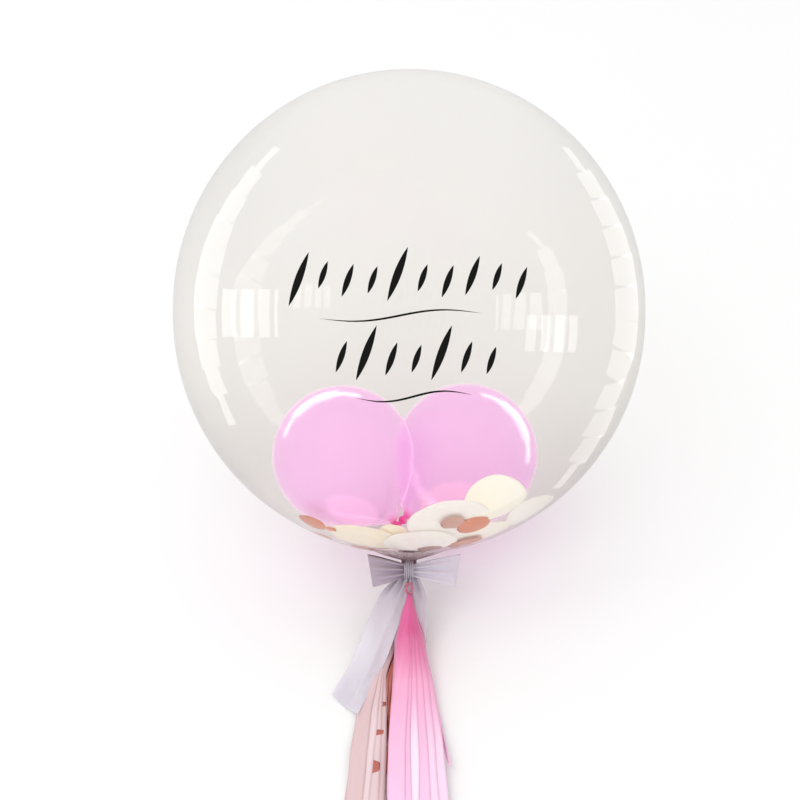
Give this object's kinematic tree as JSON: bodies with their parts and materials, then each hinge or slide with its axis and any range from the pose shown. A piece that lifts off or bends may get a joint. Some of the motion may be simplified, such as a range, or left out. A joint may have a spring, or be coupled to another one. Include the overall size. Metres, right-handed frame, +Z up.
{
  "type": "bubble balloon",
  "caption": "Clear film bubble balloon with small pink balloons and tissue discs sealed inside, its neck tied with a ribbon bow and trailing tissue and foil tassels.",
  "frame": {"origin": "middle of the small flat spot under the bubble, on the floor it lies on", "axes": "+Z up; -Y forward, the way the tassels are laid out from the neck; +X to the right seen from the front"},
  "size_m": [0.5598, 0.9237, 0.5661],
  "materials": {
    "clear_film": "clear, glossy, faintly tinted stretch film",
    "satin_ribbon": "thin pale lavender satin ribbon",
    "pink_tissue": "soft creased tissue paper, pink",
    "blush_tissue": "soft creased tissue paper, blush",
    "rose_gold_foil": "thin shiny metallised foil, rose gold",
    "inner_balloon": "smooth pastel pink latex",
    "confetti_tissue": "matt cream and white tissue discs",
    "confetti_foil": "shiny rose gold foil discs",
    "black_strokes": "black vinyl strokes stuck on the film"
  },
  "bodies": {
    "root": {"bubble": "clear_film", "ribbon_bow": "satin_ribbon", "pink_tassel": "pink_tissue", "blush_tassel": "blush_tissue", "foil_tassel": "rose_gold_foil"}
  },
  "joints": []
}
